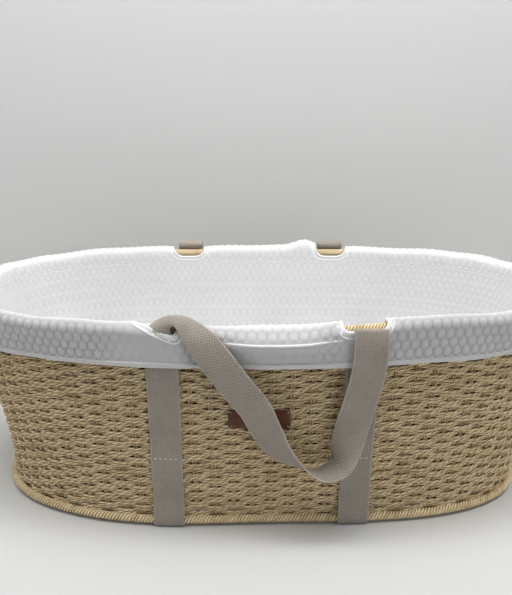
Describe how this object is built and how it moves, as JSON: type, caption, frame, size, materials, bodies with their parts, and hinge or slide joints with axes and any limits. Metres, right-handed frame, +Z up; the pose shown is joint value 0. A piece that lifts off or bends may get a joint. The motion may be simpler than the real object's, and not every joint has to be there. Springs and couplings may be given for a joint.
{
  "type": "moses basket",
  "caption": "Oval woven baby basket with rope rims, webbing straps and swinging carry handles, a quilted liner rolled over the rim and a lift-out mattress.",
  "frame": {"origin": "on the floor under the middle of the basket", "axes": "+Z up, +X along the basket, -Y out of the side that carries the leather patch"},
  "size_m": [0.8288, 0.51, 0.3045],
  "materials": {
    "straw": "natural twisted paper rope, matt",
    "hoop": "bare cane hoop",
    "webbing": "woven cotton webbing, beige-grey",
    "patch_leather": "brown leather, blank, semi-matt",
    "thread": "cream sewing thread",
    "quilt": "white jersey quilted in small hexagons",
    "binding": "white binding tape",
    "foam": "open-cell foam"
  },
  "bodies": {
    "basket": {"wicker_wall": "straw", "wicker_floor": "straw", "base_rim_wrap": "straw", "base_rim_hoop": "hoop", "top_rim_wrap": "straw", "top_rim_hoop": "hoop", "strap_left": "webbing", "strap_right": "webbing", "front_handle_bend": "webbing", "label_patch": "patch_leather", "stitch_front_left": "thread", "stitch_back_left": "thread", "stitch_front_right": "thread", "stitch_back_right": "thread", "liner_side": "quilt", "liner_floor": "quilt", "liner_cuff": "quilt", "cuff_hem": "binding", "binding_front_left": "binding", "binding_front_right": "binding", "binding_back_left": "binding", "binding_back_right": "binding"},
    "front_handle": {"front_handle": "webbing"},
    "back_handle": {"back_handle": "webbing"},
    "mattress": {"mattress_cover_base": "quilt", "mattress_cover_top": "quilt", "mattress_foam": "foam"}
  },
  "joints": [
    {"name": "front_handle_swing", "type": "hinge", "parent": "basket", "child": "front_handle", "pos_m": [0, -0.24, 0.272], "axis": [-1, 0, 0], "range_deg": [0, 180]},
    {"name": "back_handle_swing", "type": "hinge", "parent": "basket", "child": "back_handle", "pos_m": [0, 0.24, 0.272], "axis": [1, 0, 0], "range_deg": [0, 180]},
    {"name": "mattress_lift", "type": "slide", "parent": "basket", "child": "mattress", "axis": [0, 0, 1], "range_m": [0, 0.3]}
  ]
}
